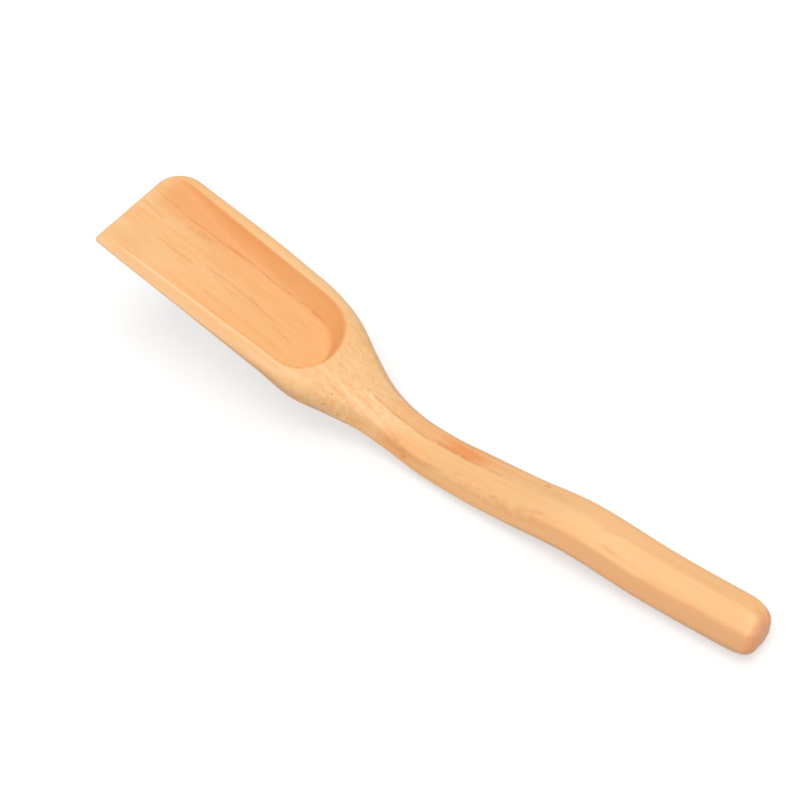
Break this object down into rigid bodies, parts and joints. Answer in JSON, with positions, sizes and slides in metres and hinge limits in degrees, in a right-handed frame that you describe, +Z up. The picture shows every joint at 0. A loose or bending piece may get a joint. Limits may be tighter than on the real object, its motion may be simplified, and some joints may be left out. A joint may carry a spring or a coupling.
{
  "type": "tea scoop",
  "caption": "One-piece carved wooden tea scoop with a shallow bowl open at the front, a waisted shoulder and a rounded handle.",
  "frame": {"origin": "under the middle of the scoop's box as it lies on a table, on the table's surface", "axes": "+X from the blade's front edge to the handle's end, +Y across the scoop, to the right seen from the handle, +Z up from the table"},
  "size_m": [0.175, 0.0272, 0.0393],
  "materials": {
    "wood": "smooth sanded wood with a satin sheen, warm light tan with fine brown grain along its length"
  },
  "bodies": {
    "root": {"scoop_body": "wood"}
  },
  "joints": []
}
